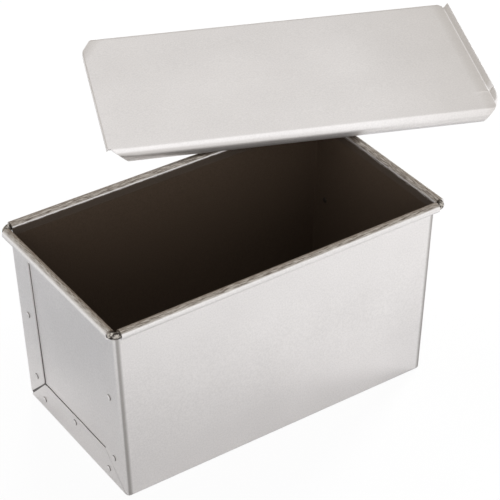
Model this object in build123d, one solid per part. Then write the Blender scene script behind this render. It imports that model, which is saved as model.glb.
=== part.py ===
from build123d import *
import math
import os

# A lidded loaf pan of folded and riveted sheet steel, in millimetres and degrees.
# The origin is the middle of the pan's underside. X runs along the pan, Y towards its back, Z up.
# The lid lies loose across the back right corner of the rim.

# Sheet that every folded piece is made of
SHEET = 0.8

# Pan, with its mouth measured inside at the rim
MOUTH_LENGTH = 197.0
MOUTH_WIDTH = 105.0
PAN_HEIGHT = 113.0
FLOOR_END_INSET = 4.0
FLOOR_SIDE_INSET = 1.25
UPRIGHT_RADIUS = 2.5
FLOOR_RADIUS = 1.5

# Rim, where the sheet flares out and rolls round a wire
WIRE_DIAMETER = 4.0
WIRE_CLEARANCE = 0.05
FRONT_WIRE_BEND = 2.8
BACK_WIRE_BEND = 4.8
FLARE_OFFSET = 0.8
FLARE_HEIGHT = 3.4
ROLL_SWEEP = 310.0

# How far short of the wire's corners the rolls stop
FRONT_ROLL_GAP = 3.9
BACK_ROLL_GAP = 4.5
END_ROLL_FRONT_GAP = 2.5
END_ROLL_BACK_GAP = 4.5

# Flaps of the trough, folded round the outside of each end plate
SIDE_FLAP_TOP = 18.0
SIDE_FLAP_FOOT = 19.7
FLOOR_FLAP = 19.5

# Mitre slots between the flaps, as wide as this where each starts and at the floor
FRONT_MITRE_START = 0.3
FRONT_MITRE_FOOT = 0.3
BACK_MITRE_START = 0.8
BACK_MITRE_FOOT = 1.6

# Rivets, with their places as shares of the flaps that they go through
RIVET_SHANK = 2.0
RIVET_HEAD = 3.4
RIVET_RIM = 0.2
RIVET_CROWN = 0.5
RIVET_CLEARANCE = 0.05
SIDE_RIVET_HEIGHT_SHARES = (0.174, 0.544)
SIDE_RIVET_ACROSS_SHARE = 0.57
FLOOR_RIVET_SHARES = ((-1.05, 0.39), (0.0, 0.78), (1.05, 0.39))

# Lid, which slides along the rolled rims on its two curled sides
CURL_CLEARANCE = 0.4
LID_SIDE_CLEARANCE = 1.3
CURL_SWEEP = 205.0
LID_OVERHANG = 11.3
FLANGE_DEPTH = 3.0
FLANGE_RADIUS = 1.2
LIP_RISE = 2.9
LIP_RADIUS = 1.0
LIP_ANGLE = 52.0
LIP_NEAR_INSET = 17.0
LIP_FAR_INSET = 2.3
LIP_SLIT = 0.5
TAB_REACH = 3.4

# Cuts across the lid's corners: how far inside the flat's end each one meets the curl, and
# the direction that it faces
BACK_LEFT_CUT = 5.6
FRONT_LEFT_CUT = 2.6
BACK_RIGHT_CUT = 1.6
FRONT_RIGHT_CUT = 1.3
NOTCH_INSET = 0.8
LONG_CUT_SHARES = (1.0, 0.5, 0.85)
SHORT_CUT_SHARES = (0.94, 0.37, 1.0)

# Where the lid lies: the front curl crosses the back rim and the right rim, measured along
# each from the corner of the wire's line
BACK_CROSSING = 78.3
RIGHT_CROSSING = 32.5
LID_ALONG = 57.2
LID_TILT = 2.5
REST_GAP = 0.3

# Cutting tools run past the sheet by this much
OVERRUN = 5.0

# Worked out from the sizes above
roll_radius = WIRE_DIAMETER / 2 + SHEET
wire_height = PAN_HEIGHT - roll_radius
flare_start = wire_height - FLARE_HEIGHT
rim_half_length = MOUTH_LENGTH / 2 + FLARE_OFFSET + roll_radius
rim_half_width = MOUTH_WIDTH / 2 + FLARE_OFFSET + roll_radius
end_tilt = math.atan(FLOOR_END_INSET / PAN_HEIGHT)

curl_radius = roll_radius + CURL_CLEARANCE + SHEET
lid_width = 2 * (rim_half_width + roll_radius + LID_SIDE_CLEARANCE + SHEET)
lid_length = 2 * (rim_half_length + roll_radius) + SHEET + LID_OVERHANG
flat_half_width = lid_width / 2 - curl_radius
flat_half_length = lid_length / 2
lip_start = flat_half_length - LIP_RADIUS * math.tan(math.radians(LIP_ANGLE / 2))


def end_inside(height):
    """Distance from the middle to an end plate's inner face at a height."""
    return MOUTH_LENGTH / 2 - FLOOR_END_INSET * (1 - height / PAN_HEIGHT)


def side_inside(height):
    """Distance from the middle to a long wall's inner face at a height."""
    return MOUTH_WIDTH / 2 - FLOOR_SIDE_INSET * (1 - height / PAN_HEIGHT)


def leaning_block(end_offset, side_offset, low, high, corner=0.0):
    """A block that follows the walls' lean, offset outwards from their inner faces."""
    slices = []
    for height in (low, high):
        length = 2 * (end_inside(height) + end_offset)
        width = 2 * (side_inside(height) + side_offset)
        outline = RectangleRounded(length, width, corner) if corner else Rectangle(length, width)
        slices.append(Pos(0, 0, height) * outline)
    return loft(slices, ruled=True)


def polar(centre, radius, angle):
    """The point at an angle on a circle."""
    turn = math.radians(angle)
    return (centre[0] + radius * math.cos(turn), centre[1] + radius * math.sin(turn))


def tangent_angle(start, centre, radius):
    """Angle at which a line that rises from a start point touches a circle on its left side."""
    across, up = centre[0] - start[0], centre[1] - start[1]
    distance = math.hypot(across, up)
    bearing = math.degrees(math.atan2(up, across))
    return bearing + 90 + math.degrees(math.asin(radius / distance))


def band(plane, start_outer, start_inner, centre, outer, inner, first_outer, first_inner, last):
    """A strip of sheet that runs straight and then round a centre, as a face on a plane."""
    middle = (first_outer + last) / 2
    lines = [
        Line(start_outer, polar(centre, outer, first_outer)),
        ThreePointArc(polar(centre, outer, first_outer), polar(centre, outer, middle),
                      polar(centre, outer, last)),
        Line(polar(centre, outer, last), polar(centre, inner, last)),
        ThreePointArc(polar(centre, inner, last), polar(centre, inner, middle),
                      polar(centre, inner, first_inner)),
        Line(polar(centre, inner, first_inner), start_inner),
        Line(start_inner, start_outer),
    ]
    return plane * make_face(lines)


def rolled_rim(plane, inside, run):
    """The flare and the roll of one rim, standing outside a wall's inner face."""
    mouth = inside(PAN_HEIGHT)
    centre = (mouth + FLARE_OFFSET + roll_radius, wire_height)
    start_inner_face = (inside(flare_start), flare_start)
    start_outer_face = (inside(flare_start) + SHEET, flare_start)
    first_outer = tangent_angle(start_inner_face, centre, roll_radius)
    first_inner = tangent_angle(start_outer_face, centre, roll_radius - SHEET)
    face = band(plane, start_inner_face, start_outer_face, centre, roll_radius,
                roll_radius - SHEET, first_outer, first_inner, first_outer - ROLL_SWEEP)
    return extrude(face, amount=run)


def both_ends(solid):
    """A solid at the right end and its mirror image at the left."""
    return [solid, mirror(solid, about=Plane.YZ)]


def flap_window():
    """The gap between the three flaps of the right end, with its slanted mitre slots."""
    outer = end_inside(PAN_HEIGHT) + 2 * SHEET + OVERRUN
    foot = side_inside(FLOOR_FLAP) + SHEET - SIDE_FLAP_FOOT
    top = side_inside(flare_start) + SHEET - SIDE_FLAP_TOP
    high = PAN_HEIGHT
    plane = Plane(origin=(outer, 0, 0), x_dir=(0, 1, 0), z_dir=(1, 0, 0))
    window = plane * Polygon((-foot, FLOOR_FLAP), (foot, FLOOR_FLAP), (top, high), (-top, high),
                             align=None)
    depth = outer - end_inside(0) - SHEET / 2
    cutters = [extrude(window, amount=depth, dir=(-1, 0, 0))]
    corner = side_inside(0) + SHEET
    slant = math.hypot(corner - foot, FLOOR_FLAP)
    across, up = FLOOR_FLAP / slant / 2, (corner - foot) / slant / 2
    for side, start_gap, foot_gap in ((-1, FRONT_MITRE_START, FRONT_MITRE_FOOT),
                                      (1, BACK_MITRE_START, BACK_MITRE_FOOT)):
        slot = plane * Polygon(
            (side * (foot - start_gap * across), FLOOR_FLAP - start_gap * up),
            (side * foot, FLOOR_FLAP + start_gap),
            (side * (foot + start_gap * across), FLOOR_FLAP + start_gap * up),
            (side * (corner + foot_gap * across), foot_gap * up),
            (side * (corner - foot_gap * across), -foot_gap * up),
            align=None)
        cutters.append(extrude(slot, amount=depth, dir=(-1, 0, 0)))
    return cutters


def rivet_places():
    """Each rivet's place on an end, as a distance across and a height."""
    places = []
    for share in SIDE_RIVET_HEIGHT_SHARES:
        height = share * PAN_HEIGHT
        flap_share = (height - FLOOR_FLAP) / (flare_start - FLOOR_FLAP)
        flap = SIDE_FLAP_FOOT + (SIDE_FLAP_TOP - SIDE_FLAP_FOOT) * flap_share
        across = side_inside(height) + SHEET - flap * SIDE_RIVET_ACROSS_SHARE
        places += [(-across, height), (across, height)]
    foot = side_inside(FLOOR_FLAP) + SHEET - SIDE_FLAP_FOOT
    for across_share, height_share in FLOOR_RIVET_SHARES:
        places.append((across_share * foot, height_share * FLOOR_FLAP))
    return places


def rivet_plane(place):
    """A plane on the right end's outer face at a place, facing outwards."""
    across, height = place
    return Plane(origin=(end_inside(height) + 2 * SHEET, across, height), x_dir=(0, 1, 0),
                 z_dir=(math.cos(end_tilt), 0, -math.sin(end_tilt)))


def rivet(place):
    """One rivet with a low round head on each face of the joint."""
    grip = 2 * SHEET * math.cos(end_tilt)
    shank, head = RIVET_SHANK / 2, RIVET_HEAD / 2
    crown = RIVET_RIM + RIVET_CROWN
    ball = (head ** 2 + RIVET_CROWN ** 2) / 2 / RIVET_CROWN
    part_way = polar((0, crown - ball), ball, 90 - math.degrees(math.asin(head / ball)) / 2)
    profile = make_face([
        Line((0, crown), (0, -grip - crown)),
        ThreePointArc((0, -grip - crown), (part_way[0], -grip - part_way[1]),
                      (head, -grip - RIVET_RIM)),
        Polyline((head, -grip - RIVET_RIM), (head, -grip), (shank, -grip), (shank, 0), (head, 0),
                 (head, RIVET_RIM)),
        ThreePointArc((head, RIVET_RIM), part_way, (0, crown)),
    ])
    turned = revolve(Plane.XZ * profile, axis=Axis.Z)
    return rivet_plane(place) * turned


def rivet_holes():
    """Cutting tools for every rivet hole of the right end."""
    length = 4 * SHEET + OVERRUN
    radius = RIVET_SHANK / 2 + RIVET_CLEARANCE
    return [rivet_plane(place) * Cylinder(radius, length) for place in rivet_places()]


def trough():
    """Front wall, floor and back wall in one folded sheet, with flaps round both ends."""
    outside = leaning_block(2 * SHEET, SHEET, 0, flare_start, UPRIGHT_RADIUS)
    outside = fillet(outside.faces().sort_by(Axis.Z)[0].edges(), FLOOR_RADIUS)
    sheet = outside - void()
    for cutter in flap_window() + rivet_holes():
        sheet -= both_ends(cutter)
    return sheet + side_rim(BACK_ROLL_GAP) + mirror(side_rim(FRONT_ROLL_GAP), about=Plane.XZ)


def side_rim(gap):
    """The back wall's rolled rim, stopping short of the wire's corners by a gap."""
    half = rim_half_length - gap
    plane = Plane(origin=(-half, 0, 0), x_dir=(0, 1, 0), z_dir=(1, 0, 0))
    return rolled_rim(plane, side_inside, 2 * half)


def void():
    """The space inside the trough and its flaps."""
    space = leaning_block(SHEET, 0, SHEET, PAN_HEIGHT, UPRIGHT_RADIUS - SHEET)
    return fillet(space.faces().sort_by(Axis.Z)[0].edges(), FLOOR_RADIUS - SHEET)


def end_plate():
    """The right end: a plate that fills the trough's end, with its own rolled rim."""
    half = leaning_block(SHEET, 0, 0, flare_start) & Pos(rim_half_length, 0, flare_start / 2) * Box(
        2 * rim_half_length, 2 * rim_half_width, flare_start)
    plate = void() & half
    plate -= leaning_block(0, OVERRUN, 0, PAN_HEIGHT)
    for hole in rivet_holes():
        plate -= hole
    far = rim_half_width - END_ROLL_BACK_GAP
    near = END_ROLL_FRONT_GAP - rim_half_width
    plane = Plane(origin=(0, far, 0), x_dir=(1, 0, 0), z_dir=(0, -1, 0))
    return plate + rolled_rim(plane, end_inside, far - near)


def rim_wire():
    """The closed wire inside the rolled rims, bare at the four corners."""
    radius = WIRE_DIAMETER / 2 - WIRE_CLEARANCE
    outline = Rectangle(2 * rim_half_length, 2 * rim_half_width)
    outline = fillet(outline.vertices().group_by(Axis.Y)[0], FRONT_WIRE_BEND)
    outline = fillet(outline.vertices().group_by(Axis.Y)[-1], BACK_WIRE_BEND)
    path = (Pos(0, 0, wire_height) * outline).wire()
    return sweep(Plane(origin=path @ 0, z_dir=path % 0) * Circle(radius), path=path)


def lid_section():
    """The lid's flat and its two curls, seen along the lid."""
    centre = (flat_half_width, -curl_radius)
    start, last = 90, 90 - CURL_SWEEP
    middle = (start + last) / 2
    inner = curl_radius - SHEET
    half = [
        Line((0, 0), polar(centre, curl_radius, start)),
        ThreePointArc(polar(centre, curl_radius, start), polar(centre, curl_radius, middle),
                      polar(centre, curl_radius, last)),
        Line(polar(centre, curl_radius, last), polar(centre, inner, last)),
        ThreePointArc(polar(centre, inner, last), polar(centre, inner, middle),
                      polar(centre, inner, start)),
        Line(polar(centre, inner, start), (0, -SHEET)),
        Line((0, -SHEET), (0, 0)),
    ]
    face = make_face(half)
    return face + mirror(face, about=Plane.YZ)


def corner_cutter(point, facing):
    """A block on the outer side of a slanted cut."""
    plane = Plane(origin=point, z_dir=facing)
    return plane * Pos(0, 0, lid_width / 2) * Box(lid_width, lid_width, lid_width)


def outside_flat(side):
    """The space past the notch line on one long side of the lid."""
    line = flat_half_width - NOTCH_INSET
    middle = Pos(0, side * (line + lid_width / 2), 0)
    return middle * Box(2 * lid_length, lid_width, lid_width)


def lid_flange():
    """The flange that is bent down at the lid's left end."""
    near = -flat_half_width + NOTCH_INSET
    bend = FLANGE_RADIUS
    left = -flat_half_length
    inner = FLANGE_RADIUS - SHEET
    centre = (left + bend, -bend)
    profile = make_face([
        ThreePointArc((left + bend, 0), polar(centre, bend, 135), (left, -bend)),
        Polyline((left, -bend), (left, -FLANGE_DEPTH), (left + SHEET, -FLANGE_DEPTH),
                 (left + SHEET, -bend)),
        ThreePointArc((left + SHEET, -bend), polar(centre, inner, 135), (left + bend, -SHEET)),
        Line((left + bend, -SHEET), (left + bend, 0)),
    ])
    plane = Plane(origin=(0, near, 0), x_dir=(1, 0, 0), z_dir=(0, -1, 0))
    return extrude(plane * profile, amount=-(flat_half_width - near))


def lid_lip():
    """The lip that is bent up along the lid's right end."""
    near = -flat_half_width + LIP_NEAR_INSET
    far = flat_half_width - LIP_FAR_INSET
    turn = math.radians(LIP_ANGLE)
    straight = (LIP_RISE - LIP_RADIUS * (1 - math.cos(turn))) / math.sin(turn)
    centre = (lip_start, LIP_RADIUS)
    outer = LIP_RADIUS + SHEET
    first, last = -90, -90 + LIP_ANGLE
    middle = (first + last) / 2
    along = (straight * math.cos(turn), straight * math.sin(turn))
    top_end = polar(centre, LIP_RADIUS, last)
    under_end = polar(centre, outer, last)
    profile = make_face([
        ThreePointArc(polar(centre, LIP_RADIUS, first), polar(centre, LIP_RADIUS, middle), top_end),
        Polyline(top_end, (top_end[0] + along[0], top_end[1] + along[1]),
                 (under_end[0] + along[0], under_end[1] + along[1]), under_end),
        ThreePointArc(under_end, polar(centre, outer, middle), polar(centre, outer, first)),
        Line(polar(centre, outer, first), polar(centre, LIP_RADIUS, first)),
    ])
    plane = Plane(origin=(0, near, 0), x_dir=(1, 0, 0), z_dir=(0, -1, 0))
    return extrude(plane * profile, amount=-(far - near))


def lid_tab():
    """The flat corner of the lid beside the lip."""
    low = -flat_half_width
    high = -flat_half_width + LIP_NEAR_INSET - LIP_SLIT
    reach = flat_half_length + TAB_REACH - lip_start
    middle = Pos(lip_start + reach / 2, (low + high) / 2, -SHEET / 2)
    return middle * Box(reach, high - low, SHEET)


def flat_lid():
    """The lid on its own, with the middle of its top face at the origin."""
    start = -flat_half_length + FLANGE_RADIUS
    plane = Plane(origin=(start, 0, 0), x_dir=(0, 1, 0), z_dir=(1, 0, 0))
    body = extrude(plane * lid_section(), amount=lip_start - start)
    long_x, long_y, long_z = LONG_CUT_SHARES
    short_x, short_y, short_z = SHORT_CUT_SHARES
    edge = flat_half_width
    body += lid_flange()
    body += lid_tab()
    body -= corner_cutter((-flat_half_length + BACK_LEFT_CUT, edge, 0), (-long_x, long_y, -long_z))
    body -= corner_cutter((flat_half_length - FRONT_RIGHT_CUT, -edge, 0),
                          (long_x, -long_y, -long_z))
    body -= outside_flat(-1) & corner_cutter((-flat_half_length + FRONT_LEFT_CUT, -edge, 0),
                                             (-short_x, -short_y, -short_z))
    body -= outside_flat(1) & corner_cutter((flat_half_length - BACK_RIGHT_CUT, edge, 0),
                                            (short_x, short_y, -short_z))
    return body + lid_lip()


def lid():
    """The lid where it lies, with its front curl across the back rim and the right rim."""
    run = math.hypot(BACK_CROSSING, RIGHT_CROSSING)
    along = LID_ALONG / run
    middle = Pos(rim_half_length - BACK_CROSSING * (1 - along),
                 rim_half_width - RIGHT_CROSSING * along,
                 PAN_HEIGHT + REST_GAP + curl_radius)
    yaw = -math.degrees(math.atan2(RIGHT_CROSSING, BACK_CROSSING))
    turned = middle * Rot(0, 0, yaw) * Rot(LID_TILT, 0, 0)
    return turned * Pos(0, flat_half_width, curl_radius) * flat_lid()


def main():
    """Write each piece to its own file."""
    right_plate = end_plate()
    pieces = {
        "trough": trough(),
        "right_end_plate": right_plate,
        "left_end_plate": mirror(right_plate, about=Plane.YZ),
        "rim_wire": rim_wire(),
        "lid": lid(),
    }
    for number, place in enumerate(rivet_places(), start=1):
        right_rivet = rivet(place)
        pieces[f"right_rivet_{number}"] = right_rivet
        pieces[f"left_rivet_{number}"] = mirror(right_rivet, about=Plane.YZ)
    os.makedirs("parts", exist_ok=True)
    for name, shape in pieces.items():
        shape.label = name
        export_step(shape, f"parts/{name}.step")


main()
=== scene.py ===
"""Looks of a lidded loaf pan of folded sheet steel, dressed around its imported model."""

from __future__ import annotations

import logging
import math
from collections.abc import Callable
from dataclasses import dataclass, field
from enum import Enum
from functools import partial

import bmesh
import bpy
from bpy.types import Material, Mesh, Node, NodeSocket, NodeTree, Object
from mathutils import Matrix, Vector


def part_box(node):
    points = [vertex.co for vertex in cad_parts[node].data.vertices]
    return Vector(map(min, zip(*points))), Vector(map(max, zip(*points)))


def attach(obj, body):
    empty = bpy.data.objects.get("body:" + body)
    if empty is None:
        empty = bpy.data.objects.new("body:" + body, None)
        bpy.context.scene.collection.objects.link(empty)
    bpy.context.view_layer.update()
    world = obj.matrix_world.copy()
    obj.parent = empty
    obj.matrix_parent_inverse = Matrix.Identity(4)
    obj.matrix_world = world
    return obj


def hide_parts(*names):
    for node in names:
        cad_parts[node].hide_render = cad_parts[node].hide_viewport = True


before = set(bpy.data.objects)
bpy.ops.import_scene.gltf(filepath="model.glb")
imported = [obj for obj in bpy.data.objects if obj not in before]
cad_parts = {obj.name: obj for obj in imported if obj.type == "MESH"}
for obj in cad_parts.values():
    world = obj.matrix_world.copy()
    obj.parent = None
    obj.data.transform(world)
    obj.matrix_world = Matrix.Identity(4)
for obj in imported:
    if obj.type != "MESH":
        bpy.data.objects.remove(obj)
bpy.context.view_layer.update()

MM = 0.001
WELD_DISTANCE = 0.001 * MM
SHARP_ANGLE = math.radians(35)
BUMP_DEPTH = 0.25
MATH = "ShaderNodeMath"
MAP_RANGE = "ShaderNodeMapRange"
LOG = logging.getLogger("loaf_pan")

# add_node bound to a tree, what can feed an input, and coordinates
AddNode = Callable[..., Node]
Source = Node | NodeSocket
Pair = tuple[float, float]
Place = tuple[float, float, float]


class Body(Enum):
    """The bodies that pieces ride on."""

    PAN = "pan"
    LID = "lid"


class Slot(Enum):
    """The record's material slots."""

    PAN_SHEET = "pan_sheet"
    LID_SHEET = "lid_sheet"
    WIRE = "wire"
    RIVET = "rivet_steel"


def linear(hex_colour: str) -> tuple[float, float, float, float]:
    """Turn an sRGB hex colour into linear light.

    Args:
        hex_colour: six hex digits with a leading hash.

    Returns:
        Red, green, blue and an alpha of one.
    """
    levels = [int(hex_colour[start:start + 2], 16) / 255 for start in (1, 3, 5)]
    light = [v / 12.92 if v <= 0.04045 else ((v + 0.055) / 1.055) ** 2.4 for v in levels]
    return (*light, 1.0)


def add_node(tree: NodeTree, kind: str, inputs: dict | tuple = (), **settings) -> Node:
    """Add a node with its settings, values and links.

    Args:
        tree: the node tree that gets the node.
        kind: the node's type.
        inputs: what each input gets, by name or index or in the inputs' order: a value, the
            socket that feeds it or the node whose first shown output does.
        settings: properties of the node itself.

    Returns:
        The new node.
    """
    node = tree.nodes.new(kind)
    for name, value in settings.items():
        setattr(node, name, value)
    if isinstance(inputs, tuple):
        inputs = dict(enumerate(inputs))
    for key, value in inputs.items():
        if isinstance(value, Node):
            value = next(socket for socket in value.outputs if socket.enabled)
        if isinstance(value, NodeSocket):
            tree.links.new(value, node.inputs[key])
        else:
            node.inputs[key].default_value = value
    return node


def new_material(name: str) -> tuple[Material, AddNode, NodeSocket]:
    """Make an empty node material.

    Args:
        name: the material's name.

    Returns:
        The material, what adds a node to it, and the object coordinates in metres.
    """
    material = bpy.data.materials.new(name)
    material.use_nodes = True
    material.node_tree.nodes.clear()
    add = partial(add_node, material.node_tree)
    return material, add, add("ShaderNodeTexCoord").outputs["Object"]


def mesh_object(name: str, mesh: Mesh) -> Object:
    """Link a mesh into the scene as an object at the origin.

    Args:
        name: the object's name.
        mesh: its mesh.

    Returns:
        The new object.
    """
    piece = bpy.data.objects.new(name, mesh)
    bpy.context.scene.collection.objects.link(piece)
    return piece


def bake(piece: Object) -> None:
    """Replace a piece's mesh with its evaluated one and drop its modifiers.

    Args:
        piece: an object with modifiers.
    """
    graph = bpy.context.evaluated_depsgraph_get()
    mesh = bpy.data.meshes.new_from_object(piece.evaluated_get(graph))
    piece.modifiers.clear()
    piece.data = mesh
    mesh.name = piece.name


def smooth(piece: Object) -> None:
    """Shade a piece smooth and keep its sharp edges."""
    piece.data.shade_smooth()
    piece.data.set_sharp_from_angle(angle=SHARP_ANGLE)


@dataclass(frozen=True)
class PanSizes:
    """Sizes of the pan in metres, read from the frame where it shows them."""

    sheet: float = 0.8 * MM
    floor_end_inset: float = 4.0 * MM
    floor_side_inset: float = 1.25 * MM
    mouth_gap: float = 0.8 * MM
    flare_height: float = 3.4 * MM
    front_wire_bend: float = 2.8 * MM
    back_wire_bend: float = 4.8 * MM
    side_flap_top: float = 18.0 * MM
    side_flap_foot: float = 19.7 * MM
    floor_flap: float = 19.5 * MM
    height: float = field(default_factory=lambda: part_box("trough")[1].z)
    wire_low: Vector = field(default_factory=lambda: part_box("rim_wire")[0])
    wire_high: Vector = field(default_factory=lambda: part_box("rim_wire")[1])

    @property
    def wire_radius(self) -> float:
        """Radius of the rim's wire."""
        return (self.wire_high.z - self.wire_low.z) / 2

    @property
    def wire_height(self) -> float:
        """Height of the wire's middle."""
        return (self.wire_high.z + self.wire_low.z) / 2

    @property
    def roll_radius(self) -> float:
        """Outer radius of the rolled rim."""
        return self.height - self.wire_height

    @property
    def flare_start(self) -> float:
        """Height where the walls begin to flare out to the roll."""
        return self.wire_height - self.flare_height

    @property
    def rim_half_length(self) -> float:
        """Half the length of the wire's line."""
        return self.wire_high.x - self.wire_radius

    @property
    def rim_half_width(self) -> float:
        """Half the width of the wire's line."""
        return self.wire_high.y - self.wire_radius

    @property
    def mouth_half_length(self) -> float:
        """Half the mouth's length inside the end plates."""
        return self.rim_half_length - self.roll_radius - self.mouth_gap

    @property
    def mouth_half_width(self) -> float:
        """Half the mouth's width inside the long walls."""
        return self.rim_half_width - self.roll_radius - self.mouth_gap


@dataclass(frozen=True)
class SheetFinish:
    """Hot-dip aluminised steel sheet: a matt silver skin with a fine even spangle."""

    colour: str = "#dedbda"
    pale_colour: str = "#edeae9"
    roughness: float = 0.42
    grain_mm: float = 0.9
    cloud_mm: float = 38.0
    cloud_share: float = 0.4
    spread: float = 0.28
    bump: float = 0.08

    def shade(self, add: AddNode, place: Source, tints: tuple[tuple[Source, str], ...] = (),
              metallic: Source | float = 1.0) -> Node:
        """Build the sheet's shader.

        Args:
            add: adds a node to the material.
            place: the object coordinates in metres.
            tints: how far each change of the skin covers the sheet, with its colour.
            metallic: how far the skin mirrors the light, and doesn't scatter it.

        Returns:
            The shader node.
        """
        grain, cloud = (
            add("ShaderNodeTexNoise", {"Vector": place, "Scale": 1 / size / MM, "Detail": detail})
            for size, detail in ((self.grain_mm, 3.0), (self.cloud_mm, 2.0)))
        both = add(MATH, (cloud, self.cloud_share, grain), operation="MULTIPLY_ADD")
        middle = (1 + self.cloud_share) / 2
        level = add(MAP_RANGE, (both, middle - self.spread, middle + self.spread))
        colour = linear(self.colour)
        for share, tint in ((level, self.pale_colour), *tints):
            colour = add("ShaderNodeMix", {0: share, 6: colour, 7: linear(tint)}, data_type="RGBA")
        bump = add("ShaderNodeBump", {"Height": grain, "Strength": self.bump,
                                      "Distance": self.grain_mm * MM * BUMP_DEPTH})
        return add("ShaderNodeBsdfPrincipled", {
            "Base Color": colour, "Metallic": metallic, "Roughness": self.roughness,
            "Normal": bump})


@dataclass(frozen=True)
class ReleaseCoat:
    """Baked non-stick lacquer: a deep brown skin with a soft sheen and fine speckle, and a darker
    colour for painted shade.

    The speckle is drawn coarser than the real one, so that it shows.
    """

    colour: str = "#3f3329"
    pale_colour: str = "#5c4e41"
    painted_shade_colour: str = "#2b241e"
    roughness: float = 0.5
    speck_mm: float = 0.8
    bump: float = 0.25

    def shade(self, add: AddNode, place: Source, painted_shade: Source) -> Node:
        """Build the coat's shader.

        Args:
            add: adds a node to the material.
            place: the object coordinates in metres.
            painted_shade: how far the coat is drawn darker, as painted shade.

        Returns:
            The shader node.
        """
        speck = add("ShaderNodeTexNoise", {
            "Vector": place, "Scale": 1 / (self.speck_mm * MM), "Detail": 4.0})
        colour = linear(self.colour)
        # The speckle pales the coat, the painted shade darkens it
        for share, tint in ((speck, self.pale_colour), (painted_shade, self.painted_shade_colour)):
            colour = add("ShaderNodeMix", {0: share, 6: colour, 7: linear(tint)}, data_type="RGBA")
        bump = add("ShaderNodeBump", {"Height": speck, "Strength": self.bump,
                                      "Distance": self.speck_mm * MM * BUMP_DEPTH})
        return add("ShaderNodeBsdfPrincipled", {
            "Base Color": colour, "Metallic": 0.0, "Roughness": self.roughness, "Normal": bump})


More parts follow.
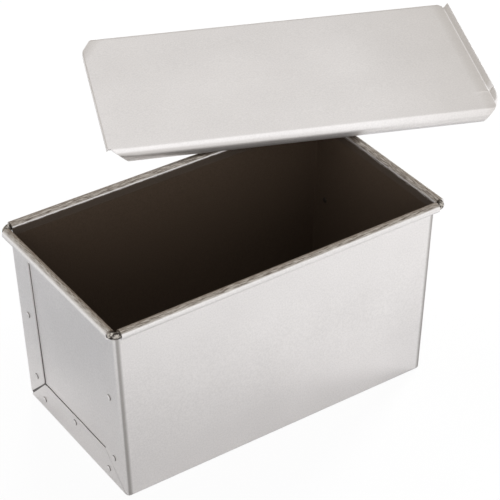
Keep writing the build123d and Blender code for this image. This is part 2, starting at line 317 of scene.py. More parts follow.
@dataclass(frozen=True)
class PanFinish:
    """The pan's sheet: bare aluminised steel outside, release coat inside, rubbed at the rim, with
    painted shade at the joints, bends and flare.
    """

    sizes: PanSizes
    sheet: SheetFinish = SheetFinish()
    coat: ReleaseCoat = ReleaseCoat()
    tint_colour: str = "#cac4bb"
    speck_mm: float = 0.45
    speck_roughness: float = 0.6
    speck_levels: Pair = (0.25, 0.75)
    rub_levels: Pair = (0.15, 1.25)
    rub_stretch: float = 0.1
    flare_shade: float = 0.45
    flare_fade: float = 0.6 * MM
    joint_shade_colour: str = "#38332f"
    joint_shade_line: float = 0.45 * MM
    joint_shade_share: float = 0.9
    joint_shade_inset: float = 0.5 * MM
    skin_share: float = 0.3
    outer_side_rub: Pair = (0.42, 0.8)
    inner_side_rub: Pair = (0.38, 0.58)
    outer_end_rub: Pair = (0.42, 1.15)
    inner_end_rub: Pair = (0.25, 0.6)
    coat_tops: Pair = (0.3 * MM, -0.2 * MM)
    frays: Pair = (0.65 * MM, 1.3 * MM)
    fray_weight: float = 2.0
    fray_levels: Pair = (1.1, 1.9)
    flare_shade_stop: Pair = (-0.3 * MM, 0.4 * MM)
    roll_edge: float = 0.1 * MM
    bend_shade: float = 0.65
    bend_shade_colour: str = "#7c7773"
    bend_shade_rise: Pair = (-0.875 * MM, 0.375 * MM)
    bend_shade_fall: Pair = (1.125 * MM, 3.125 * MM)

    def beyond(self, add: AddNode, along: Source, height: Source, half: float,
               inset: float) -> Node:
        """How far a place lies outside a pair of leaning walls' inner faces.

        Args:
            add: adds a node to the material.
            along: the coordinate across the walls.
            height: the height.
            half: half the mouth between the walls.
            inset: how much closer each wall stands at the floor.

        Returns:
            The distance in metres, negative inside.
        """
        reach = add(MATH, (along,), operation="ABSOLUTE")
        lean = add(MATH, (height, -inset / self.sizes.height, reach), operation="MULTIPLY_ADD")
        return add(MATH, (lean, half - inset), operation="SUBTRACT")

    def joint_shade(self, add: AddNode, height: Source, ends: Source, sides: Source) -> Node:
        """Painted shade on the end plates, in the gaps along the flaps' edges and in their mitres.

        Args:
            add: adds a node to the material.
            height: the height.
            ends: how far a place lies outside the end plates' inner faces.
            sides: how far it lies outside the long walls' inner faces.

        Returns:
            How far the painted shade covers the sheet.
        """
        s = self.sizes
        flap = add(MAP_RANGE, (height, s.floor_flap, s.flare_start, s.side_flap_foot, s.side_flap_top))
        past = add(MATH, (sides, flap), operation="ADD")
        beside = add(MATH, (past, s.sheet - self.joint_shade_line), operation="GREATER_THAN")
        under = add(MATH, (height, s.floor_flap + self.joint_shade_line), operation="LESS_THAN")
        share = add(MATH, (beside, under), operation="MAXIMUM")
        # Only on the end plates' outer skin, below the flare and clear of the long walls
        skin = add(MATH, (ends, s.sheet, s.sheet * self.skin_share), operation="COMPARE")
        low = add(MATH, (height, s.flare_start), operation="LESS_THAN")
        inward = add(MATH, (sides, -self.joint_shade_inset), operation="LESS_THAN")
        for factor in (skin, low, inward, self.joint_shade_share):
            share = add(MATH, (share, factor), operation="MULTIPLY")
        return share

    def by_place(self, add: AddNode, on_end: Source, inside: Source, bound: int) -> Node:
        """Choose where the rubbed spray starts or is whole, by the side of each roll.

        Args:
            add: adds a node to the material.
            on_end: one on the end plates' rolls.
            inside: one on a roll's inner side.
            bound: 0 for where the spray starts, 1 for where it is whole.

        Returns:
            The height above the wire's middle, in metres.
        """
        radius = self.sizes.roll_radius
        outer, inner = (
            add(MAP_RANGE, (on_end, 0.0, 1.0, side[bound] * radius, end[bound] * radius))
            for side, end in ((self.outer_side_rub, self.outer_end_rub),
                              (self.inner_side_rub, self.inner_end_rub)))
        return add(MAP_RANGE, (inside, 0.0, 1.0, outer, inner))

    def material(self) -> Material:
        """Build the pan's material.

        Returns:
            The material.
        """
        s = self.sizes
        material, add, place = new_material("aluminised_steel_with_release_coat")
        axes = add("ShaderNodeSeparateXYZ", (place,)).outputs
        height = axes["Z"]
        ends = self.beyond(add, axes["X"], height, s.mouth_half_length, s.floor_end_inset)
        sides = self.beyond(add, axes["Y"], height, s.mouth_half_width, s.floor_side_inset)
        outward = add(MATH, (ends, sides), operation="MAXIMUM")
        on_end = add(MATH, (ends, sides), operation="GREATER_THAN")
        above_wire = add(MATH, (height, s.wire_height), operation="SUBTRACT")
        # The middle of the sheet, which leaves the wall's line along the flare and the roll
        skin = add(MAP_RANGE, (height, s.flare_start, s.wire_height, s.sheet / 2,
                               s.sheet / 2 + s.mouth_gap))
        rolled = add(MAP_RANGE, (above_wire, 0.0, self.roll_edge, 0.0, s.roll_radius))
        limit = add(MATH, (skin, rolled), operation="ADD")
        within = add(MATH, (outward, limit), operation="LESS_THAN")
        above = add(MATH, (height, s.sheet / 2), operation="GREATER_THAN")
        inside = add(MATH, (within, above), operation="MULTIPLY")
        # Streaks run along each roll, and the coat ends in a ragged line just below the roll's
        # top, lower on the end plates
        stretch_x, stretch_y, coat_top, fray = (
            add(MAP_RANGE, (on_end, 0.0, 1.0, *values))
            for values in ((self.rub_stretch, 1.0), (1.0, self.rub_stretch), self.coat_tops,
                           self.frays))
        stretch = add("ShaderNodeCombineXYZ", (stretch_x, stretch_y, 1.0))
        streaked = add("ShaderNodeVectorMath", (place, stretch), operation="MULTIPLY")
        speck = add("ShaderNodeTexNoise", {"Vector": streaked, "Scale": 1 / (self.speck_mm * MM),
                                           "Detail": 3.0, "Roughness": self.speck_roughness})
        past = add(MATH, (above_wire, coat_top), operation="SUBTRACT")
        share = add(MATH, (past, fray), operation="DIVIDE")
        ragged = add(MATH, (speck, self.fray_weight, share), operation="MULTIPLY_ADD")
        fade = add(MAP_RANGE, (ragged, *self.fray_levels, 1.0, 0.0))
        full = add(MATH, (inside, fade), operation="MULTIPLY")
        # Spray on the roll's upper side, rubbed thin, that clears towards the outer face
        start, whole = (self.by_place(add, on_end, inside, bound) for bound in (0, 1))
        rise = add(MAP_RANGE, (above_wire, start, whole), interpolation_type="SMOOTHSTEP")
        speckled = add(MAP_RANGE, (speck, *self.speck_levels, *self.rub_levels))
        rubbed = add(MATH, (rise, speckled), operation="MULTIPLY", use_clamp=True)
        cover = add(MATH, (full, rubbed), operation="MAXIMUM")
        # Painted shade on the upright bends, standing for the dark floor they reflect: a dark band
        # reaching further onto the long walls' side
        turned = add(MATH, (sides, ends), operation="SUBTRACT")
        shade_rising, shade_falling = (
            add(MAP_RANGE, (turned, *levels), interpolation_type="SMOOTHSTEP")
            for levels in ((*self.bend_shade_rise, 0.0, self.bend_shade), (*self.bend_shade_fall, 1.0, 0.0)))
        bend_shading = add(MATH, (shade_rising, shade_falling), operation="MULTIPLY")
        # Tints: the bends' painted shade, the rubbed spray, and the joints' painted shade
        steel = self.sheet.shade(add, place, (
            (bend_shading, self.bend_shade_colour), (rise, self.tint_colour),
            (self.joint_shade(add, height, ends, sides), self.joint_shade_colour)))
        # Painted shade: the coat is drawn darker along the flare under the roll, whose upturned face
        # would catch more light
        flared = add(MAP_RANGE, (height, s.flare_start - self.flare_fade,
                                 s.flare_start + self.flare_fade, 0.0, self.flare_shade))
        below = add(MAP_RANGE, (above_wire, *self.flare_shade_stop, 1.0, 0.0))
        painted_shade = add(MATH, (flared, below), operation="MULTIPLY")
        coat = self.coat.shade(add, place, painted_shade)
        mixed = add("ShaderNodeMixShader", (cover, steel, coat))
        add("ShaderNodeOutputMaterial", {"Surface": mixed})
        return material


@dataclass(frozen=True)
class WireFinish:
    """Drawn steel wire: smooth grey metal, mottled with dark mill scale."""

    colour: str = "#b3ada5"
    scale_colour: str = "#35302c"
    scale_levels: Pair = (0.42, 0.58)
    roughness: Pair = (0.1, 0.3)
    smudge_mm: float = 1.5

    def material(self) -> Material:
        """Build the wire's material.

        Returns:
            The material.
        """
        material, add, place = new_material("drawn_steel_wire")
        smudge = add("ShaderNodeTexNoise", {
            "Vector": place, "Scale": 1 / (self.smudge_mm * MM), "Detail": 3.0})
        rough = add(MAP_RANGE, (smudge, 0.0, 1.0, *self.roughness))
        scale = add(MAP_RANGE, (smudge, *self.scale_levels))
        colour = add("ShaderNodeMix", {0: scale, 6: linear(self.colour),
                                       7: linear(self.scale_colour)}, data_type="RGBA")
        metal = add("ShaderNodeBsdfPrincipled", {
            "Base Color": colour, "Metallic": 1.0, "Roughness": rough})
        add("ShaderNodeOutputMaterial", {"Surface": metal})
        return material


@dataclass(frozen=True)
class RivetFinish:
    """Steel rivets, bare outside with painted shade round each head's foot, coated inside."""

    pan: PanFinish
    foot_shade_colour: str = "#6c6761"

    def material(self) -> Material:
        """Build the rivets' material.

        Returns:
            The material.
        """
        material, add, place = new_material("rivet_steel_with_release_coat")
        axes = add("ShaderNodeSeparateXYZ", (place,)).outputs
        s = self.pan.sizes
        ends = self.pan.beyond(add, axes["X"], axes["Z"], s.mouth_half_length, s.floor_end_inset)
        inside = add(MATH, (ends, s.sheet), operation="LESS_THAN")
        foot = add("ShaderNodeAttribute", attribute_name="foot").outputs["Fac"]
        # The dark ring round each head's foot is painted shade
        steel = self.pan.sheet.shade(add, place, ((foot, self.foot_shade_colour),))
        # The inner heads are drawn wholly in the coat's painted shade colour
        coat = self.pan.coat.shade(add, place, inside)
        mixed = add("ShaderNodeMixShader", (inside, steel, coat))
        add("ShaderNodeOutputMaterial", {"Surface": mixed})
        return material


@dataclass(frozen=True)
class LidFinish:
    """The lid's bare aluminised sheet: painted shade before the lip and low on the curls' left,
    scuffed curls.
    """

    sheet: SheetFinish = SheetFinish()
    lip_shade_colour: str = "#a39b90"
    lip_shade_share: float = 0.4
    lip_shade_mm: float = 14.0
    lip_shade_far_share: float = 0.22
    lip_shade_far_mm: float = 70.0
    lip_margin_mm: float = 0.2
    scuffed: float = 0.6
    scuffed_mm: Pair = (1.0, 4.5)
    curl_shade_colour: str = "#c4c0bd"
    curl_mm: Pair = (0.7, 1.5)
    curl_span_mm: Pair = (-100.0, 40.0)

    def material(self, pose: Matrix, fold: float) -> Material:
        """Build the lid's material.

        Args:
            pose: the matrix from the lid's millimetres to the frame.
            fold: the lip's fold along the lid, in millimetres.

        Returns:
            The material.
        """
        material, add, place = new_material("aluminised_steel_lid")
        axis, _, up, _ = pose.inverted()
        turned, height = (add("ShaderNodeVectorMath", (place, row.xyz),
                              operation="DOT_PRODUCT") for row in (axis, up))
        # Painted shade: the flat is drawn darker and warmer towards the lip's fold
        short = add(MATH, (fold - axis.w, turned), operation="SUBTRACT")
        near = add(MAP_RANGE, (short, 0.0, self.lip_shade_mm, self.lip_shade_share, 0.0),
                   interpolation_type="SMOOTHSTEP")
        far = add(MAP_RANGE, (short, 0.0, self.lip_shade_far_mm, self.lip_shade_far_share, 0.0))
        both = add(MATH, (near, far), operation="MAXIMUM")
        flat = add(MATH, (short, -self.lip_margin_mm), operation="GREATER_THAN")
        share = add(MATH, (both, flat), operation="MULTIPLY")
        # The curls are drawn darker low down towards the left, a painted reflection of the dark pan
        # beneath; low down they are also scuffed matt by the rims, where they scatter a part of the
        # light
        left, right = self.curl_span_mm
        leftward = add(MAP_RANGE, (turned, left - axis.w, right - axis.w, 1.0, 0.0))
        turned_down, metallic = (
            add(MAP_RANGE, (height, -start - up.w, -full - up.w, first, last))
            for (start, full), first, last in ((self.curl_mm, 0.0, 1.0),
                                               (self.scuffed_mm, 1.0, self.scuffed)))
        curl = add(MATH, (turned_down, leftward), operation="MULTIPLY")
        tints = ((share, self.lip_shade_colour), (curl, self.curl_shade_colour))
        metal = self.sheet.shade(add, place, tints, metallic)
        add("ShaderNodeOutputMaterial", {"Surface": metal})
        return material


@dataclass
class Lid:
    """The lid: a flat sheet with a curl on both long sides, a flange and a lip. In millimetres."""

    sheet: float = 0.8
    flat_half_width: float = 57.0
    curl_radius: float = 4.0
    curl_sweep: float = 205.0
    half_length: float = 110.95
    flange_depth: float = 3.0
    flange_radius: float = 1.2
    lip_rise: float = 2.9
    lip_radius: float = 1.0
    lip_angle: float = 52.0
    lip_near: float = -40.0
    lip_far: float = 54.2
    slit: float = 0.35
    tab_reach: float = 3.4
    tab_round: float = 2.4
    tab_flat_from: float = -56.0
    tab_folded_from: float = -50.0
    fold_step: float = 0.5
    flange_slant: float = 0.8
    notch_inset: float = 0.8
    step: float = 0.12
    back_left_cut: float = 5.6
    front_left_cut: float = 2.6
    back_right_cut: float = 1.6
    front_right_cut: float = 1.3
    long_cut_shares: Pair = (0.5, 0.85)
    short_cut_shares: Pair = (0.394, 1.064)
    edge_round: float = 0.12
    back_crossing: float = 78.3
    right_crossing: float = 32.5
    along: float = 57.2
    tilt: float = 2.5
    rest_gap: float = 0.3
    curl_steps: int = 30
    lip_steps: int = 12
    tab_steps: int = 12
    bend_steps: int = 6
    columns: int = 26
    bevel_angle: float = 40.0

    def pose(self, sizes: PanSizes) -> Matrix:
        """Where the lid lies on the rims.

        Args:
            sizes: the pan's sizes.

        Returns:
            The matrix from the lid's millimetres to the frame's metres.
        """
        share = self.along / math.hypot(self.back_crossing, self.right_crossing)
        middle = Vector((sizes.rim_half_length - self.back_crossing * MM * (1 - share),
                         sizes.rim_half_width - self.right_crossing * MM * share,
                         sizes.height + (self.rest_gap + self.curl_radius) * MM))
        yaw = -math.atan2(self.right_crossing, self.back_crossing)
        offset = Vector((0, self.flat_half_width, self.curl_radius))
        return (Matrix.Translation(middle) @ Matrix.Rotation(yaw, 4, "Z")
                @ Matrix.Rotation(math.radians(self.tilt), 4, "X")
                @ Matrix.Scale(MM, 4) @ Matrix.Translation(offset))

    def lip_start(self) -> float:
        """Where the flat ends and the lip's bend begins."""
        return self.half_length - self.lip_radius * math.tan(math.radians(self.lip_angle / 2))

    def left_end(self, y: float, z: float) -> float:
        """Where a line along the lid meets its left outline.

        Args:
            y: the line's place across.
            z: the line's height.

        Returns:
            The place along the lid.
        """
        fold = -self.half_length + self.flange_radius
        if y < -self.flat_half_width + self.notch_inset or (z < 0 and y < 0):
            across, up = self.short_cut_shares
            inset = self.front_left_cut - across * (y + self.flat_half_width) - up * z
        else:
            across, up = self.long_cut_shares
            inset = self.back_left_cut + across * (y - self.flat_half_width) - up * z
        return max(fold, -self.half_length + inset)

    def right_end(self, y: float, z: float) -> float:
        """Where a line along the lid meets its right outline.

        Args:
            y: the line's place across.
            z: the line's height.

        Returns:
            The place along the lid.
        """
        if y < self.lip_near - self.slit + self.step / 2:
            across, up = self.long_cut_shares
            reach = across * (y + self.flat_half_width) + up * z - self.front_right_cut
            short = self.tab_round - abs(reach - self.tab_reach)
            rounding = short * short / 4 / self.tab_round if short > 0 else 0.0
            return self.half_length + min(self.tab_reach, reach) - rounding
        if z == 0 and y < self.flat_half_width - self.notch_inset + self.step / 2:
            return self.lip_start()
        across, up = self.short_cut_shares
        inset = self.back_right_cut + across * (y - self.flat_half_width) - up * z
        return min(self.lip_start(), self.half_length - inset)

    def section(self) -> list[Pair]:
        """Points across the lid's outer skin, from the front curl's edge to the back curl's.

        Returns:
            Places across with their heights.
        """
        edge, radius = self.flat_half_width, self.curl_radius
        turns = [math.radians(90 + self.curl_sweep * i / self.curl_steps)
                 for i in range(self.curl_steps, 0, -1)]
        front = [(-edge + radius * math.cos(a), -radius + radius * math.sin(a)) for a in turns]
        back = [(-y, z) for y, z in reversed(front)]
        notch = edge - self.notch_inset
        reach = self.flange_far() - self.step - self.lip_near
        lip_rows = [self.lip_near + reach * i / self.lip_steps for i in range(self.lip_steps - 1)]
        tab_corner = -edge + (self.tab_reach + self.front_right_cut) / self.long_cut_shares[0]
        tab_edge = self.lip_near - self.slit
        spread = self.tab_round / self.long_cut_shares[0]
        tab_rows = [tab_corner + spread * (2 * i / self.tab_steps - 1)
                    for i in range(self.tab_steps + 1)]
        flat = [-edge, -notch - self.step, -notch, (tab_rows[0] - notch) / 2, *tab_rows,
                (tab_rows[-1] + tab_edge) / 2, tab_edge, tab_edge + self.step, *lip_rows,
                self.flange_far(), (self.flange_far() + self.lip_far) / 2, self.lip_far, notch,
                edge]
        return front + [(y, 0.0) for y in flat] + back

    def flange_far(self, x: float | None = None, z: float = 0.0) -> float:
        """Where the back left cut ends a line across the flange.

        Args:
            x: the line's place along the lid, or none for the fold.
            z: the line's height.

        Returns:
            The place across.
        """
        across, up = self.long_cut_shares
        inward = self.flange_radius if x is None else x + self.half_length
        return self.flat_half_width + (inward - self.back_left_cut + up * z) / across

    def row(self, y: float, z: float) -> list[Place]:
        """Points of one line along the lid, with the tab folded up past the lip's start.

        Args:
            y: the line's place across.
            z: the line's height.

        Returns:
            The points from left to right.
        """
        low, high, fold = self.left_end(y, z), self.right_end(y, z), self.lip_start()
        last = min(high, fold) - self.fold_step
        even = self.columns - 2
        places = [low + (last - low) * i / even for i in range(even + 1)]
        places += [min((last + high) / 2, fold + self.fold_step), high]
        share = (y - self.tab_flat_from) / (self.tab_folded_from - self.tab_flat_from)
        share = max(0.0, min(1.0, share))
        turn = math.radians(self.lip_angle) * share * share * (3 - 2 * share)
        points = []
        for x in places:
            bent = max(0.0, min(x - fold, self.fold_step))
            rest = max(0.0, x - fold - bent)
            along = bent * math.cos(turn / 2) + rest * math.cos(turn)
            rise = bent * math.sin(turn / 2) + rest * math.sin(turn)
            points.append((min(x, fold) + along, y, z + rise))
        return points

    def mesh(self) -> Mesh:
        """Build the lid's outer skin, in the lid's own millimetres.

        Returns:
            The skin, one face thick.
        """
        net = bmesh.new()
        rows = self.section()
        grid = [[net.verts.new(place) for place in self.row(y, z)] for y, z in rows]
        for near, far in zip(grid, grid[1:]):
            for i in range(self.columns):
                net.faces.new((near[i], near[i + 1], far[i + 1], far[i]))
        near_end = self.notch_inset - self.flat_half_width
        for line, low, high, column in (
                (self.flange_line(), near_end, self.flange_far(), 0),
                (self.lip_line(), self.lip_near, self.lip_far, self.columns)):
            fold = [(y, verts[column]) for (y, z), verts in zip(rows, grid)
                    if z == 0.0 and low <= y <= high]
            strips = []
            for y, vert in fold:
                strip = [vert]
                for x, z in line:
                    across = y
                    if column == 0:
                        near = fold[0][0] - self.flange_slant * z
                        across = max(near, min(y, self.flange_far(x, z)))
                    strip.append(net.verts.new((x, across, z)))
                strips.append(strip)
            for near, far in zip(strips, strips[1:]):
                for i in range(len(line)):
                    corners = (near[i], near[i + 1], far[i + 1], far[i])
                    net.faces.new(corners if column else corners[::-1])
        mesh = bpy.data.meshes.new("lid_skin")
        net.to_mesh(mesh)
        net.free()
        return mesh

    def flange_line(self) -> list[Pair]:
        """Points along the flange's outer skin, past the fold.

        Returns:
            Places along the lid with their heights.
        """
        fold = -self.half_length + self.flange_radius
        turns = [math.pi / 2 * i / self.bend_steps for i in range(1, self.bend_steps + 1)]
        bend = [(fold - self.flange_radius * math.sin(a), self.flange_radius * (math.cos(a) - 1))
                for a in turns]
        return bend + [(-self.half_length, -self.flange_depth)]

    def lip_line(self) -> list[Pair]:
        """Points along the lip's upper skin, past the fold.

        Returns:
            Places along the lid with their heights.
        """
        turn = math.radians(self.lip_angle)
        turns = [turn * i / self.bend_steps for i in range(1, self.bend_steps + 1)]
        bend = [(self.lip_start() + self.lip_radius * math.sin(a),
                 self.lip_radius * (1 - math.cos(a))) for a in turns]
        x, z = bend[-1]
        straight = (self.lip_rise - z) / math.sin(turn)
        return bend + [(x + straight * math.cos(turn), z + straight * math.sin(turn))]

    def build(self, sizes: PanSizes, material: Material) -> None:
        """Make the finished lid where it lies.

        Args:
            sizes: the pan's sizes.
            material: the lid's finish.
        """
        mesh = self.mesh()
        mesh.transform(self.pose(sizes))
        piece = mesh_object("lid_sheet", mesh)
        wall = piece.modifiers.new("wall", "SOLIDIFY")
        wall.thickness = self.sheet * MM
        wall.offset = -1.0
        wall.use_even_offset = True
        edge = piece.modifiers.new("edge", "BEVEL")
        edge.width = self.edge_round * MM
        edge.segments = 2
        edge.limit_method = "ANGLE"
        edge.angle_limit = math.radians(self.bevel_angle)
        edge.use_clamp_overlap = False
        bake(piece)
        smooth(piece)
        piece.data.materials.append(material)
        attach(piece, Body.LID.value)
        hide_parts("lid")
        LOG.info("lid: %d faces", len(piece.data.polygons))


def new_tree(name: str, inputs: dict[str, float | str]) -> NodeTree:
    """Make a geometry tree with named inputs.

    Args:
        name: the tree's name.
        inputs: each input's starting value if it is a number, or else its socket type.

    Returns:
        The tree, with a geometry input and output.
    """
    tree = bpy.data.node_groups.new(name, "GeometryNodeTree")
    for side in ("INPUT", "OUTPUT"):
        tree.interface.new_socket("Geometry", in_out=side, socket_type="NodeSocketGeometry")
    for label, given in inputs.items():
        kind = given if isinstance(given, str) else "NodeSocketFloat"
        socket = tree.interface.new_socket(label, in_out="INPUT", socket_type=kind)
        if kind is not given:
            socket.default_value = given
    return tree


def finish_tree(add: AddNode, made: Source, material: NodeSocket) -> None:
    """End a geometry tree in real, smooth geometry with its material.

    Args:
        add: adds a node to the tree.
        made: the geometry to finish.
        material: the material input.
    """
    real = add("GeometryNodeRealizeInstances", (made,))
    dressed = add("GeometryNodeSetMaterial", {"Geometry": real, "Material": material})
    add("NodeGroupOutput", (dressed,))


def run_tree(piece: Object, tree: NodeTree, values: dict[str, object]) -> None:
    """Run a geometry tree on a piece and keep its result as a plain mesh.

    Args:
        piece: the object to work on.
        tree: the tree.
        values: the inputs to set, by name.
    """
    modifier = piece.modifiers.new(tree.name, "NODES")
    modifier.node_group = tree
    for item in tree.interface.items_tree:
        if item.in_out == "INPUT" and item.name in values:
            modifier[item.identifier] = values[item.name]
    bake(piece)


def weld(net: bmesh.types.BMesh) -> None:
    """Merge a closed mesh's doubles and turn its faces outwards."""
    bmesh.ops.remove_doubles(net, verts=net.verts, dist=WELD_DISTANCE)
    bmesh.ops.recalc_face_normals(net, faces=net.faces)


@dataclass(frozen=True)
class RimWire:
    """The closed wire in the rolled rims, bare at the corners."""

    sizes: PanSizes
    around: int = 28
    corner_steps: int = 12

    def tree(self) -> NodeTree:
        """Bend a wire round a rounded rectangle.

        Returns:
            The geometry tree that does so.
        """
        tree = new_tree("bent_rim_wire", {
            "Length": 0.2, "Width": 0.1, "Height": 0.1, "Front Bend": 0.003, "Back Bend": 0.005,
            "Wire Radius": 0.002, "Material": "NodeSocketMaterial"})
        add = partial(add_node, tree)
        given = add("NodeGroupInput").outputs
        loop = add("GeometryNodeCurvePrimitiveQuadrilateral",
                   {"Width": given["Length"], "Height": given["Width"]}, mode="RECTANGLE")
        spot = add("GeometryNodeInputPosition")
        across = add("ShaderNodeSeparateXYZ", (spot,)).outputs["Y"]
        back = add(MATH, (across, 0.0), operation="GREATER_THAN")
        bend = add(MAP_RANGE, (back, 0.0, 1.0, given["Front Bend"], given["Back Bend"]))
        bent = add("GeometryNodeFilletCurve",
                   {"Curve": loop, "Radius": bend, "Count": self.corner_steps}, mode="POLY")
        lift = add("ShaderNodeCombineXYZ", {"Z": given["Height"]})
        raised = add("GeometryNodeSetPosition", {"Geometry": bent, "Offset": lift})
        ring = add("GeometryNodeCurvePrimitiveCircle", {
            "Resolution": self.around, "Radius": given["Wire Radius"]})
        tube = add("GeometryNodeCurveToMesh", {"Curve": raised, "Profile Curve": ring})
        finish_tree(add, tube, given["Material"])
        return tree

    def build(self, material: Material) -> None:
        """Make the wire.

        Args:
            material: its finish.
        """
        s = self.sizes
        piece = mesh_object("rim_wire_loop", bpy.data.meshes.new("rim_wire_loop"))
        run_tree(piece, self.tree(), {
            "Length": 2 * s.rim_half_length, "Width": 2 * s.rim_half_width,
            "Height": s.wire_height, "Front Bend": s.front_wire_bend,
            "Back Bend": s.back_wire_bend, "Wire Radius": s.wire_radius, "Material": material})
        net = bmesh.new()
        net.from_mesh(piece.data)
        weld(net)
        net.to_mesh(piece.data)
        net.free()
        smooth(piece)
        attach(piece, Body.PAN.value)
        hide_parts("rim_wire")
        LOG.info("rim wire: %d faces", len(piece.data.polygons))


@dataclass(frozen=True)
class Rivets:
    """The low-headed rivets through both ends' flaps."""

    sizes: PanSizes
    head: float = 1.7 * MM
    shank: float = 1.0 * MM
    rim: float = 0.25 * MM
    crown: float = 0.55 * MM
    foot_width: float = 0.05 * MM
    around: int = 28
    dome_steps: int = 7

    def profile(self) -> list[Pair]:
        """Half the rivet's outline, from the outer crown to the inner one.

        Returns:
            Distances from the axis with heights about the middle of the grip.
        """
        half_grip = self.sizes.sheet
        ball = (self.head ** 2 + self.crown ** 2) / 2 / self.crown
        spread = math.asin(self.head / ball)
        top = half_grip + self.rim + self.crown
        turns = [spread * i / self.dome_steps for i in range(self.dome_steps + 1)]
        dome = [(ball * math.sin(a), top - ball + ball * math.cos(a)) for a in turns]
        half = dome + [(self.head, half_grip), (self.shank, half_grip)]
        return half + [(r, -z) for r, z in reversed(half)]

    def one(self) -> Object:
        """Turn one rivet on the Z axis.

        Returns:
            The rivet, which knows its heads' feet.
        """
        net = bmesh.new()
        points = [net.verts.new((r, 0, z)) for r, z in self.profile()]
        edges = [net.edges.new(pair) for pair in zip(points, points[1:])]
        bmesh.ops.spin(net, geom=points + edges, cent=(0, 0, 0), axis=(0, 0, 1),
                       angle=2 * math.pi, steps=self.around, use_merge=True)
        weld(net)
        mesh = bpy.data.meshes.new("one_rivet")
        net.to_mesh(mesh)
        net.free()
        foot = mesh.attributes.new("foot", "FLOAT", "POINT")
        for item, vert in zip(foot.data, mesh.vertices):
            item.value = float(vert.co.xy.length > self.head - self.foot_width)
        return mesh_object("one_rivet", mesh)

    def tree(self) -> NodeTree:
        """Set a rivet on each point, facing the way the point says.

        Returns:
            The geometry tree that does so.
        """
        tree = new_tree("set_rivets", {"Rivet": "NodeSocketObject", "Head Scale": 1.0,
                                       "Material": "NodeSocketMaterial"})
        add = partial(add_node, tree)
        given = add("NodeGroupInput").outputs
        rivet = add("GeometryNodeObjectInfo", {"Object": given["Rivet"]}).outputs["Geometry"]
        facing = add("GeometryNodeInputNamedAttribute", ("facing",), data_type="FLOAT_VECTOR")
        turn = add("FunctionNodeAlignRotationToVector", {"Vector": facing}, axis="Z")
        heads = add("GeometryNodeInstanceOnPoints", {
            "Points": given["Geometry"], "Instance": rivet, "Rotation": turn,
            "Scale": given["Head Scale"]})
        finish_tree(add, heads, given["Material"])
        return tree

    def build(self, material: Material) -> None:
        """Set a rivet in the place of each one in the frame.

        Args:
            material: the rivets' finish.
        """
        s = self.sizes
        names = sorted(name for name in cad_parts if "rivet" in name)
        tilt = math.atan(s.floor_end_inset / s.height)
        mesh = bpy.data.meshes.new("rivet_heads")
        places = [sum(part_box(name), Vector()) / 2 for name in names]
        mesh.from_pydata(places, [], [])
        facing = mesh.attributes.new("facing", "FLOAT_VECTOR", "POINT")
        for item, place in zip(facing.data, places):
            item.vector = (math.copysign(math.cos(tilt), place.x), 0, -math.sin(tilt))
        piece = mesh_object("rivet_heads", mesh)
        one = self.one()
        run_tree(piece, self.tree(), {"Rivet": one, "Material": material})
        bpy.data.objects.remove(one)
        smooth(piece)
        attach(piece, Body.PAN.value)
        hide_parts(*names)
        LOG.info("rivets: %d", len(names))


@dataclass(frozen=True)
class Lamp:
    """A soft square lamp, aimed at the origin and unseen in reflections."""

    name: str
    place: Place
    size: float
    power: float

    def hang(self) -> None:
        """Hang the lamp."""
        data = bpy.data.lights.new(self.name, "AREA")
        data.size = self.size
        data.energy = self.power
        lamp = bpy.data.objects.new(self.name, data)
        lamp.visible_glossy = False
        lamp.location = self.place
        lamp.rotation_mode = "QUATERNION"
        lamp.rotation_quaternion = Vector(self.place).to_track_quat("Z", "Y")
        bpy.context.scene.collection.objects.link(lamp)


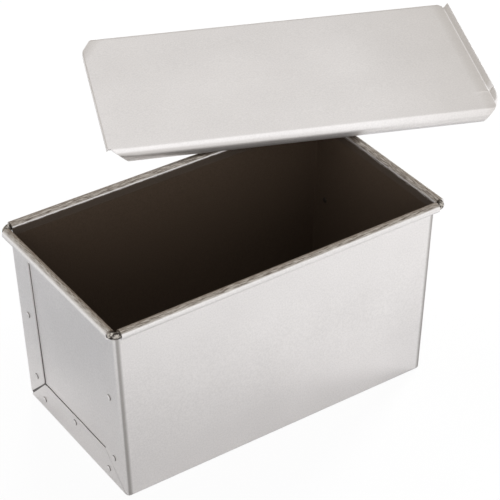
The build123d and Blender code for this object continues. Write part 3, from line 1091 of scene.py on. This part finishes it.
@dataclass(frozen=True)
class Studio:
    """Pale floor, soft light and the photograph's camera. Lengths are in metres."""

    camera_place: Place = (-0.4686, -0.722, 0.694)
    azimuth: float = -33.880
    elevation: float = 35.109
    roll: float = -0.326
    focal_pixels: float = 1970.9
    frame_pixels: float = 500.0
    sensor_width: float = 36.0
    floor_half: float = 12.0
    floor_colour: str = "#f1f1f1"
    glow: float = 0.94
    reflected_glow: float = 0.2
    dim_colour: str = "#4e5866"
    left_dimming: float = 0.56
    left_distance: float = 0.185
    left_reach: Pair = (0.03, 0.075)
    left_start: Pair = (-0.03, 0.055)
    left_least: float = 0.15
    lid_dimming: float = 0.5
    lid_spot: Place = (0.18, 0.02, 0.0)
    lid_reach: Pair = (0.05, 0.135)
    scattered_sky: float = 0.67
    reflected_sky: float = 1.33
    front_colour: str = "#f4f4f4"
    wall_colours: tuple[tuple[float, str], ...] = (
        (0.0, "#a39d94"), (0.45, "#a39f98"), (0.52, "#aca9a4"), (0.58, "#bcbcbc"),
        (0.68, "#ffffff"), (1.0, "#ffffff"))
    wall_back: Pair = (0.0, 0.5)
    wall_right: Pair = (-0.65, -0.4)
    lamps: tuple[Lamp, ...] = (Lamp("right_key", (1.5, 0.64, 1.15), 0.5, 26.0),
                               Lamp("back_key", (0.71, 1.4, 1.23), 0.5, 17.0),
                               Lamp("fill", (-0.8, -1.25, 0.5), 0.8, 5.0))

    def camera(self) -> None:
        """Set the camera as the photograph's was."""
        data = bpy.data.cameras.new("camera")
        data.sensor_width = self.sensor_width
        data.lens = self.focal_pixels / self.frame_pixels * data.sensor_width
        camera = bpy.data.objects.new("camera", data)
        turn, rise = math.radians(self.azimuth), math.radians(self.elevation)
        back = Vector((math.sin(turn) * math.cos(rise), -math.cos(turn) * math.cos(rise),
                       math.sin(rise)))
        camera.rotation_mode = "QUATERNION"
        aim = (-back).to_track_quat("-Z", "Y").to_matrix()
        roll = Matrix.Rotation(math.radians(self.roll), 3, "Z")
        camera.rotation_quaternion = (aim @ roll).to_quaternion()
        camera.location = self.camera_place
        bpy.context.scene.collection.objects.link(camera)
        bpy.context.scene.camera = camera

    def by_ray(self, add: AddNode, direct: float, reflected: float, scattered: float) -> Node:
        """Choose a value by the kind of ray.

        Args:
            add: adds a node to the tree.
            direct: the value for camera rays.
            reflected: the value for glossy and transmission rays.
            scattered: the value for all other rays.

        Returns:
            The node that gives the value.
        """
        path = add("ShaderNodeLightPath").outputs
        bent = add(MATH, (path["Is Glossy Ray"], path["Is Transmission Ray"]), operation="MAXIMUM")
        first = add(MAP_RANGE, (bent, 0.0, 1.0, scattered, reflected))
        return add(MAP_RANGE, (path["Is Camera Ray"], 0.0, 1.0, first, direct))

    def dimming(self, add: AddNode, place: Source) -> Node:
        """How far a painted shadow dims the floor in reflections: left of the pan and under the lid's
        end.

        Args:
            add: adds a node to the floor's material.
            place: the object coordinates in metres.

        Returns:
            The node that gives the share.
        """
        axes = add("ShaderNodeSeparateXYZ", (place,)).outputs
        shifted = add(MATH, (axes["X"], self.left_distance), operation="ADD")
        aside = add(MATH, (shifted,), operation="ABSOLUTE")
        reach = add("ShaderNodeVectorMath", (place, self.lid_spot), operation="DISTANCE")
        left, along, under = (
            add(MAP_RANGE, values)
            for values in ((aside, *self.left_reach, 1.0, 0.0),
                           (axes["Y"], *self.left_start, self.left_least, 1.0),
                           (reach, *self.lid_reach, self.lid_dimming, 0.0)))
        for factor in (along, self.left_dimming):
            left = add(MATH, (left, factor), operation="MULTIPLY")
        both = add(MATH, (left, under), operation="MAXIMUM")
        return add(MATH, (both, self.by_ray(add, 0.0, 1.0, 0.0)), operation="MULTIPLY")

    def floor(self) -> None:
        """Lay the floor, which looks white and keeps the shadow."""
        half = self.floor_half
        mesh = bpy.data.meshes.new("floor")
        mesh.from_pydata([(-half, -half, 0), (half, -half, 0), (half, half, 0), (-half, half, 0)],
                         [], [(0, 1, 2, 3)])
        floor = mesh_object("floor", mesh)
        material, add, place = new_material("matt_white_paper")
        paper = add("ShaderNodeBsdfDiffuse", {"Color": linear(self.floor_colour)})
        glow = add("ShaderNodeEmission", {"Strength": 1.0})
        shade = add("ShaderNodeEmission", {"Color": linear(self.dim_colour)})
        surface = paper
        for share, over in ((self.by_ray(add, self.glow, self.reflected_glow, 0.0), glow),
                            (self.dimming(add, place), shade)):
            surface = add("ShaderNodeMixShader", (share, surface, over))
        add("ShaderNodeOutputMaterial", {"Surface": surface})
        mesh.materials.append(material)

    def world(self) -> None:
        """White all round for the camera; the object sees a greyer wall low at the back."""
        world = bpy.data.worlds.new("studio")
        world.use_nodes = True
        world.node_tree.nodes.clear()
        add = partial(add_node, world.node_tree)
        way = add("ShaderNodeTexCoord").outputs["Generated"]
        axes = add("ShaderNodeSeparateXYZ", (way,)).outputs
        wall = add("ShaderNodeValToRGB", {"Fac": axes["Z"]})
        stops = wall.color_ramp.elements
        while len(stops) < len(self.wall_colours):
            stops.new(0.5)
        for stop, (spot, colour) in zip(stops, self.wall_colours):
            stop.position = spot
            stop.color = linear(colour)
        behind, rightward = (
            add(MAP_RANGE, values)
            for values in ((axes["Y"], *self.wall_back), (axes["X"], *self.wall_right)))
        greyer = add(MATH, (behind, rightward), operation="MULTIPLY")
        around = add("ShaderNodeMix", {0: greyer, 6: linear(self.front_colour), 7: wall},
                     data_type="RGBA")
        seen = add("ShaderNodeMix", {0: self.by_ray(add, 1.0, 0.0, 0.0), 6: around,
                                     7: linear("#ffffff")}, data_type="RGBA")
        sky = add("ShaderNodeBackground", {
            "Color": seen,
            "Strength": self.by_ray(add, 1.0, self.reflected_sky, self.scattered_sky)})
        add("ShaderNodeOutputWorld", {"Surface": sky})
        bpy.context.scene.world = world

    def build(self) -> None:
        """Set up the whole studio."""
        self.camera()
        self.floor()
        self.world()
        for lamp in self.lamps:
            lamp.hang()
        bpy.context.scene.view_settings.view_transform = "Standard"


def dress(node: str, material: Material) -> None:
    """Give a node of the frame its finish.

    Args:
        node: the node's name.
        material: its finish.
    """
    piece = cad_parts[node]
    piece.data.materials.clear()
    piece.data.materials.append(material)
    LOG.info("%s: %s", node, material.name)


def main() -> None:
    """Build the studio, then each piece in order."""
    logging.basicConfig(level=logging.INFO)
    Studio().build()
    sizes = PanSizes()
    finish = PanFinish(sizes)
    pan = finish.material()
    for node in ("trough", "left_end_plate", "right_end_plate"):
        dress(node, pan)
    RimWire(sizes).build(WireFinish().material())
    Rivets(sizes).build(RivetFinish(finish).material())
    lid = Lid()
    lid.build(sizes, LidFinish().material(lid.pose(sizes), lid.lip_start()))


if __name__ == "__main__":
    main()
